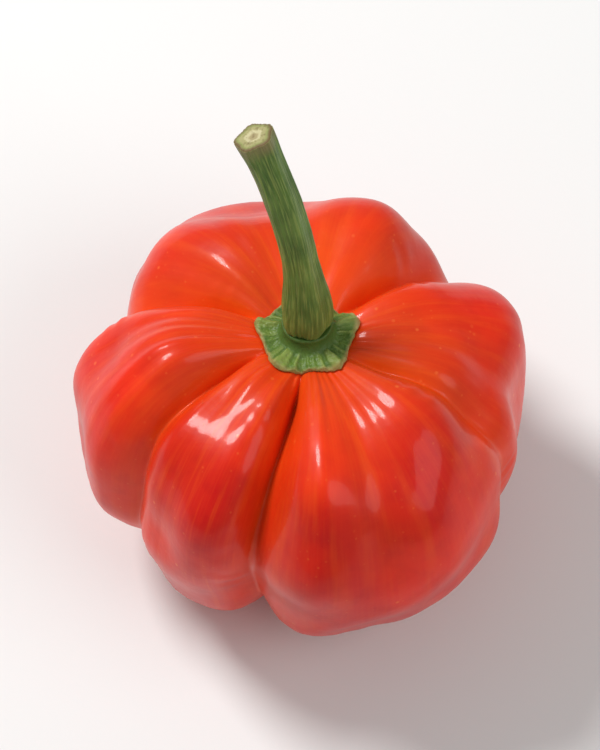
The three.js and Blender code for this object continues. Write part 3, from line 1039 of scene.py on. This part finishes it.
def make_calyx_green():
    """Dull green, paler ribs, painted shade on the neck and between the ribs, a tan margin."""
    material, tree, place = new_material("pepper_calyx")
    out = number(tree, "out")
    clouds, mottle = tree.patches(place, **LEAF_CLOUDS), tree.patches(place, **LEAF_MOTTLE)
    darker = clouds * LEAF_SHARES["clouds"] + mottle * LEAF_SHARES["mottle"]
    leaf = tree.mix(darker, LEAF_GREEN, DARK_GREEN_AND_NECK_SHADE)
    # painted shade on the neck, where the stem stands in the collar
    neck = tree.mix((1 - tree.step(out, **NECK_SHADE_END)) * NECK_PAINTED_SHADE, leaf, DARK_GREEN_AND_NECK_SHADE)
    # paler ribs: their own colour, and painted shade in the creases between them
    on_rib = tree.step(number(tree, "raised"), **RIB_TOP)
    ribbed = tree.mix(on_rib * RIB_PALENESS_AND_CREASE_SHADE, neck, RIB_GREEN)
    on_top = 1 - tree.step(number(tree, "share"), **UNDERSIDE_START)
    dryness = MARGIN_DRYNESS["least"] + clouds * MARGIN_DRYNESS["cloudy"]
    dried = tree.step(out, **MARGIN_START) * on_top * dryness
    fine = tree.noise(place, **CALYX_FINE_GRAIN) * FINE_GRAIN_SHARE
    surface = {
        "Base Color": tree.mix(dried, ribbed, MARGIN_TAN),
        "Roughness": CALYX_ROUGHNESS["least"] + clouds * CALYX_ROUGHNESS["cloudy"],
        "Subsurface Scale": 0.0006,
    }
    dress(tree, tree.noise(place, **CALYX_GRAIN) + fine, CALYX_BUMP * MM, GREEN_TISSUE | surface)
    return material


calyx_green = make_calyx_green()
print(calyx_green.name, "has", len(calyx_green.node_tree.nodes), "nodes")

# %% Grow the calyx
CALYX_WIDTH = 10.4

calyx = grow(
    "pepper_calyx",
    collar_tree,
    {
        "Pod": pod, "Above": above_crown, "Up": crown_up, "Back": crown_back, "Width": CALYX_WIDTH * MM,
        "Teeth": 5.0, "First Tooth": math.radians(20), "Bay": 0.17, "Rib Height": 0.32 * MM,
        "Columns": 361, "Rows": 110, "Material": calyx_green,
    },
)

# %% [markdown]
# ## The stem
#
# The stem leaves the calyx at a narrow waist, flares, and then runs slim and ribbed to the cut, where
# it thickens again at the knuckle that it was cut from. A curve with a round bevel would be a quick
# stem, but a smooth one. In Geometry Nodes the section and the thickness are open to sums: one gentle
# curve for the line, a ring with five ribs and fine fibres for the section, and humps along the way
# for its thickness. The section turns a little on the way up.

# %% The stem's tree
STEM_LENGTH = 25.0
STEM_THICKNESS = 3.5
STEM_SWEEP = {"aside": -5.0, "back": 2.2}
STEM_WAIST = {"height": -0.24, "at": 0.02, "width": 0.045}
STEM_FLARE = {"height": 0.42, "at": 0.1, "width": 0.15}
STEM_KNUCKLE = {"height": 0.16, "at": 1.0, "width": 0.09}
STEM_TAPER = 0.08
STEM_NOISE = {"scale": 260.0, "detail": 1.0}
STEM_UNEVEN = 0.12  # as a share of the stem's radius
FINE_FIBRE_SWAY = 2
COARSE_FIBRES = {"count": 19, "sway": 1.5}


def stem_line(tree, given):
    """The line that the stem follows, and the stem's radius along it."""
    ends = {"Start": given["Foot"], "Middle": given["Middle"], "End": given["Tip"]}
    line = tree.node("GeometryNodeCurveQuadraticBezier", None, {"Resolution": given["Rows"], **ends})
    along = tree.node("GeometryNodeSplineParameter", output="Factor")
    line = tree.keep(line, "along", along)
    line = tree.node("GeometryNodeSetCurveTilt", None, {"Curve": line, "Tilt": along * given["Twist"]})
    waist, flare, knuckle = (along.hump(**part) for part in (STEM_WAIST, STEM_FLARE, STEM_KNUCKLE))
    uneven = tree.noise(tree.node("GeometryNodeInputPosition"), **STEM_NOISE) - 0.5
    thick = 1 + waist + flare + knuckle - along * STEM_TAPER + uneven * STEM_UNEVEN
    return line, given["Radius"] * thick


def stem_ring(tree, given):
    """The stem's section: a ring with broad ribs, and fine fibres all round."""
    size = {"Resolution": given["Columns"], "Radius": 1.0}
    ring = tree.node("GeometryNodeCurvePrimitiveCircle", None, size)
    angle = tree.node("GeometryNodeSplineParameter", output="Factor") * (2 * math.pi)
    ring = tree.keep(ring, "turn_east", angle.cosine())
    ring = tree.keep(ring, "turn_north", angle.sine())
    rib = (angle * given["Ribs"]).cosine()
    fine = (angle * given["Fibres"] + rib * FINE_FIBRE_SWAY).cosine()
    coarse = (angle * COARSE_FIBRES["count"] - rib * COARSE_FIBRES["sway"]).sine()
    out = 1 + rib * given["Rib Height"] + (fine + coarse) * given["Fibre Height"]
    place = tree.times(tree.node("GeometryNodeInputPosition"), out)
    return tree.node("GeometryNodeSetPosition", None, {"Geometry": ring, "Position": place})


def stem_tree():
    """A ribbed section, carried along a curved line and closed at both ends."""
    inputs = {
        "Foot": "Vector", "Middle": "Vector", "Tip": "Vector", "Radius": "Float", "Twist": "Float",
        "Ribs": "Float", "Rib Height": "Float", "Fibres": "Float", "Fibre Height": "Float",
        "Columns": "Int", "Rows": "Int", "Material": "Material",
    }
    tree, given = new_shape_tree("ribbed_stem", inputs)
    line, radius = stem_line(tree, given)
    swept = {"Curve": line, "Profile Curve": stem_ring(tree, given), "Scale": radius, "Fill Caps": True}
    stalk = tree.node("GeometryNodeCurveToMesh", None, swept)
    finish_shape(tree, stalk, given["Material"])
    return tree


stalk_tree = stem_tree()
print("the stem's tree has", len(stalk_tree.tree.nodes), "nodes")

# %% [markdown]
# ## The stem's finish
#
# The stem's green is streaked, because its fibres run from end to end with paler tissue between them.
# It is lighter at the foot, where it is youngest, and dries to tan beside the cut. Noise on plain
# coordinates would give it blotches. Its fibres have to follow its bend, so their noise reads how far
# along and where on the ring each point is, which the tree kept. The place on the ring is kept as a
# cosine and a sine, because an angle would jump from its end to its start and leave a seam.

# %% The stem's material
STEM_GREEN = screen(98, 128, 48)
STEM_LIGHT = screen(146, 162, 80)
STEM_DARK = screen(62, 94, 34)
BARK_TAN = screen(140, 120, 80)
FIBRE_NOISE = {"around": 11, "along": 9, "detail": 3.0}
STREAKS = {"start": 0.45, "end": 0.7}
STREAK_PALENESS = 0.65
STEM_CLOUDS = {"scale": 260, "start": 0.3, "end": 0.75}
CLOUD_DARKNESS = 0.8
YOUNG_END = {"start": 0.0, "end": 0.2}
YOUNG_PALENESS = 0.5
DRIED_START = {"start": 0.93, "end": 1.0}
STEM_DRYNESS = {"least": 0.4, "cloudy": 0.5}
STEM_GRAIN = {"scale": 2400, "detail": 1.0}
GRAIN_SHARE = 0.3
STEM_ROUGHNESS = {"least": 0.42, "cloudy": 0.14}
STEM_BUMP = 0.14


def make_stem_green():
    """Streaked green, lighter at the foot, and dried to tan beside the cut."""
    material, tree, place = new_material("pepper_stem")
    along, around = number(tree, "along"), FIBRE_NOISE["around"]
    east, north = number(tree, "turn_east") * around, number(tree, "turn_north") * around
    on_stem = tree.vector(east, north, along * FIBRE_NOISE["along"])
    fibres = tree.noise(on_stem, 1.0, FIBRE_NOISE["detail"])
    clouds = tree.patches(place, **STEM_CLOUDS)
    green = tree.mix(clouds * CLOUD_DARKNESS, STEM_GREEN, STEM_DARK)
    streaked = tree.mix(tree.step(fibres, **STREAKS) * STREAK_PALENESS, green, STEM_LIGHT)
    young = tree.mix((1 - tree.step(along, **YOUNG_END)) * YOUNG_PALENESS, streaked, STEM_LIGHT)
    dryness = STEM_DRYNESS["least"] + clouds * STEM_DRYNESS["cloudy"]
    dried = tree.step(along, **DRIED_START) * dryness
    grain = fibres + tree.noise(place, **STEM_GRAIN) * GRAIN_SHARE
    surface = {
        "Base Color": tree.mix(dried, young, BARK_TAN),
        "Roughness": STEM_ROUGHNESS["least"] + clouds * STEM_ROUGHNESS["cloudy"],
        "Subsurface Scale": 0.0008,
    }
    dress(tree, grain, STEM_BUMP * MM, GREEN_TISSUE | surface)
    return material


stem_green = make_stem_green()
print(stem_green.name, "has", len(stem_green.node_tree.nodes), "nodes")

# %% Grow the stem
NECK_HEIGHT = 3.0  # of the packed calyx, above the floor of the crown's hollow
TOUCHING_GAP = 0.3  # between packed pieces that touch
STEM_SINK = 1.0  # how deep the stem's foot stands in the calyx's neck
STEM_COLUMNS = 160

stem_foot_height = crown_floor + NECK_HEIGHT + 2 * TOUCHING_GAP
stem_tip_height = stem_foot_height + STEM_LENGTH


def on_axis(aside, back, height):
    """A point of the upright pepper's stem, leant and put in the frame."""
    return Vector(to_frame(lean(np.array([aside, back, height], float))))


stem_tip = on_axis(STEM_SWEEP["aside"], STEM_SWEEP["back"], stem_tip_height)
stem_middle = on_axis(0, 0, (stem_foot_height + stem_tip_height) / 2)
stem = grow(
    "pepper_stem",
    stalk_tree,
    {
        "Foot": on_axis(0, 0, stem_foot_height - STEM_SINK), "Middle": stem_middle, "Tip": stem_tip,
        "Radius": STEM_THICKNESS / 2 * MM, "Twist": math.radians(30), "Ribs": 5.0, "Rib Height": 0.07,
        "Fibres": 31.0, "Fibre Height": 0.013, "Columns": STEM_COLUMNS, "Rows": 150,
        "Material": stem_green,
    },
)

# %% [markdown]
# ## The cut end
#
# The camera looks down on the cut, so it gets a face of its own. A fresh cut dries within a day: the
# green rim shrinks and browns, the woody ring inside it stays proud and pale, and the soft pith in the
# middle sinks. A flat cap with rings painted on it would look printed. So the face is made of rings of
# points that shrink the stem's own outline towards its middle, each at the height that the section
# gives it, and it is closed by an underside within the stem.

# %% The outline of the stem's end
rim = np.array([vertex.co[:] for vertex in stem.data.vertices[-STEM_COLUMNS:]])
cut_middle = rim.mean(axis=0)
cut_axis = np.array((stem_tip - stem_middle).normalized())
off_plane = np.abs((rim - cut_middle) @ cut_axis).max() / MM
cut_width = 2 * np.linalg.norm(rim - cut_middle, axis=1).mean() / MM
print(f"the end is {cut_width:.1f} mm across, and its outline is flat to {off_plane:.3f} mm")

# %% Make the cut face
CUT_SECTION = [  # share of the way out, and height in millimetres above the stem's end
    (0.0, 0.06), (0.26, 0.07), (0.4, 0.17), (0.6, 0.22),
    (0.72, 0.13), (0.85, 0.16), (0.95, 0.1), (1.0, -0.06),
]
CUT_RINGS = 40
CUT_DEPTH = 0.3
CUT_EDGE = 0.99  # how far out the face's edge is, as a share of the stem's outline
BUNDLES = {"height": 0.05, "at": 0.52, "width": 0.08}  # the wood's bundles of fibres
BUNDLE_COUNT = 17
SAW_MARKS = {"height": 0.015, "out": 23, "slant": 5, "turns": 9}

steps = np.linspace(0, 1, CUT_RINGS + 1)
turns = np.linspace(0, 2 * np.pi, STEM_COLUMNS, endpoint=False)
cut_out, cut_turn = np.meshgrid(steps, turns, indexing="ij")
bundles = hump(cut_out, **BUNDLES) * np.cos(BUNDLE_COUNT * cut_turn)
slanted = np.sin(SAW_MARKS["out"] * cut_out + SAW_MARKS["slant"] * cut_turn)
saw_marks = SAW_MARKS["height"] * cut_out * slanted * np.sin(SAW_MARKS["turns"] * cut_turn)
cut_height = np.interp(cut_out, *zip(*CUT_SECTION)) + bundles + saw_marks
shrunk = cut_middle + (rim - cut_middle) * (cut_out * CUT_EDGE)[..., None]
face = shrunk + cut_axis * cut_height[..., None] * MM
underside = (shrunk - cut_axis * CUT_DEPTH * MM)[::-1]
cut_numbers = {"out": np.concatenate([cut_out, cut_out[::-1]])}
cut_mesh = closed_mesh("pepper_stem_cut", np.concatenate([face, underside]), cut_numbers)
print("the cut face has", len(cut_mesh.vertices), "points")

# %% The cut's material
DRY_PITH = screen(164, 150, 108)
PITH = screen(196, 188, 144)
WOOD_RING = screen(166, 160, 108)
INNER_BARK = screen(140, 146, 84)
RIM_BROWN = screen(112, 92, 56)
RINGS = [
    (0.0, DRY_PITH), (0.2, DRY_PITH), (0.3, PITH), (0.4, PITH),
    (0.5, WOOD_RING), (0.66, WOOD_RING), (0.78, INNER_BARK), (0.92, RIM_BROWN),
]
RING_EDGES = {"per_metre": 900, "ragged": 0.12}
SPECKS = {"scale": 2200, "start": 0.5, "end": 0.75}
SPECK_DARKNESS = 0.5
CUT_ROUGHNESS = {"least": 0.7, "specks": 0.15}
CUT_BUMP = 0.06


def make_cut_face():
    """Rings from the pith out to the rim, with ragged edges and brown specks."""
    material, tree, place = new_material("pepper_stem_cut")
    ragged = (tree.noise(place, RING_EDGES["per_metre"]) - 0.5) * RING_EDGES["ragged"]
    out = number(tree, "out") + ragged
    rings = tree.node("ShaderNodeValToRGB", {"stops": RINGS}, {"Fac": out}, output="Color")
    specks = tree.patches(place, **SPECKS)
    surface = {
        "Base Color": tree.mix(specks * SPECK_DARKNESS, rings, RIM_BROWN),
        "Roughness": CUT_ROUGHNESS["least"] + specks * CUT_ROUGHNESS["specks"],
    }
    dress(tree, specks, CUT_BUMP * MM, surface)
    return material


cut_face = make_cut_face()
stem_cut = add_piece("pepper_stem_cut", cut_mesh, cut_face)
print(stem_cut.name, "has", len(cut_mesh.polygons), "faces")

# %% [markdown]
# ## Join the pieces to the frame
#
# Nothing on a pepper moves, so every piece rides on the one body, root. The pod, the calyx and the stem
# take the place of the packed pieces of those names, which are hidden, and a slot is listed for each.
# The cut face is an extra of the stem and is listed with the stem's slot.

# %% Ride and replace
PIECES = [
    {"piece": pod, "slot": "pod_skin"},
    {"piece": calyx, "slot": "calyx_green"},
    {"piece": stem, "slot": "stem_green"},
    {"piece": stem_cut, "slot": "stem_green"},
]
for row in PIECES:
    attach(row["piece"], "root")
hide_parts("pod")
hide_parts("calyx")
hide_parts("stem")
print("pieces:", ", ".join(row["piece"].name for row in PIECES))

# %% [markdown]
# ## Floor and light
#
# The pepper is shown as it would be in a shop's photograph: on a plain pale floor, under big soft
# lamps, from high up. Wax shows its lamps as highlights, so their shape matters: the lamps are round,
# because square ones leave patches with straight edges on the skin. One, high at the back left, draws
# the bright highlights over the shoulders. A wider and weaker one at the front right keeps the near
# lobes from going dark. A picture of a room wrapped round the scene would light it as well, but two
# lamps are easier to move until the highlights sit right. Blender's Standard view shows the red as it
# was written, where its usual view would turn it duller.

# %% Floor
PAPER_WHITE = screen(236, 236, 234)
PAPER_SHADE = screen(230, 230, 229)
FLOOR_HALF = 2.0  # half its width, in metres
PAPER_CLOUDS = 3.0
PAPER_TOOTH = {"per_metre": 1500, "height": 0.01}


def make_floor():
    """A wide sheet of matt paper, at the height that the pepper rests on."""
    material, tree, place = new_material("pale_floor")
    coloured = tree.mix(tree.noise(place, PAPER_CLOUDS), PAPER_WHITE, PAPER_SHADE)
    tooth = tree.noise(place, PAPER_TOOTH["per_metre"])
    dress(tree, tooth, PAPER_TOOTH["height"] * MM, {"Base Color": coloured, "Roughness": 0.7})
    mesh = bpy.data.meshes.new("floor")
    corners = [(-FLOOR_HALF, -FLOOR_HALF, 0), (FLOOR_HALF, -FLOOR_HALF, 0)]
    corners += [(FLOOR_HALF, FLOOR_HALF, 0), (-FLOOR_HALF, FLOOR_HALF, 0)]
    mesh.from_pydata(corners, [], [(0, 1, 2, 3)])
    return add_piece("floor", mesh, material)


floor = make_floor()
floor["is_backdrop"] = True
print(f"the floor is {2 * FLOOR_HALF:.0f} m wide")

# %% Lamps
KEY_LAMP = {"place": (-0.26, 0.2, 0.45), "size": 0.17, "power": 2.5}
FILL_LAMP = {"place": (0.36, -0.18, 0.4), "size": 0.42, "power": 1.0}

middle = (Vector(packed_bounds[0]) + Vector(packed_bounds[1])) / 2


def add_lamp(name, place, size, power):
    """A round soft lamp that looks at the pepper's middle. Its size is in metres, its power in watts."""
    data = bpy.data.lights.new(name, "AREA")
    data.shape = "DISK"
    data.size = size
    data.energy = power
    lamp = bpy.data.objects.new(name, data)
    lamp.location = place
    lamp.rotation_euler = (middle - lamp.location).to_track_quat("-Z", "Y").to_euler()
    bpy.context.scene.collection.objects.link(lamp)


add_lamp("key_lamp", **KEY_LAMP)
add_lamp("fill_lamp", **FILL_LAMP)

# %% The light from all round
SURROUND_STRENGTH = 0.32

world = bpy.data.worlds.new("studio")
world.use_nodes = True
surround = world.node_tree.nodes["Background"]
surround.inputs["Color"].default_value = (1, 1, 1, 1)
surround.inputs["Strength"].default_value = SURROUND_STRENGTH
bpy.context.scene.world = world
bpy.context.scene.view_settings.view_transform = "Standard"
print("the studio's walls give", SURROUND_STRENGTH, "of full white")

# %% [markdown]
# ## Camera
#
# The camera looks steeply down, as on a pepper that lies on a table, so that the crown and its lobes
# are seen best. It stands well back with a long lens. A near camera would take in the same pepper, but
# would swell its near side, and the long lens keeps the pepper's own proportions.

# %% Camera
CAMERA_ELEVATION = 66.0  # degrees above the floor
CAMERA_DISTANCE = 0.8  # metres
CAMERA_LENS = 400.0  # millimetres
AIM_BELOW_MIDDLE = 0.002  # metres

elevation = math.radians(CAMERA_ELEVATION)
towards_camera = Vector((0, -math.cos(elevation), math.sin(elevation)))
camera_data = bpy.data.cameras.new("camera")
camera_data.lens = CAMERA_LENS
camera = bpy.data.objects.new("camera", camera_data)
aim = middle - Vector((0, 0, AIM_BELOW_MIDDLE))
camera.location = aim + towards_camera * CAMERA_DISTANCE
camera.rotation_euler = (-towards_camera).to_track_quat("-Z", "Y").to_euler()
bpy.context.scene.collection.objects.link(camera)
bpy.context.scene.camera = camera
print(f"the camera looks down at {CAMERA_ELEVATION:.0f} degrees from {CAMERA_DISTANCE:.1f} m away")

# %% [markdown]
# ## The size at the end
#
# The visual pieces take the places of the packed ones and should fill the same box. Both boxes are
# printed side by side.

# %% Finish
dressed_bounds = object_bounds()
boxes = {"packed": packed_bounds, "dressed": dressed_bounds}
for name, (low, high) in boxes.items():
    print(name, "size in mm:", [round((b - a) / MM, 1) for a, b in zip(low, high)])
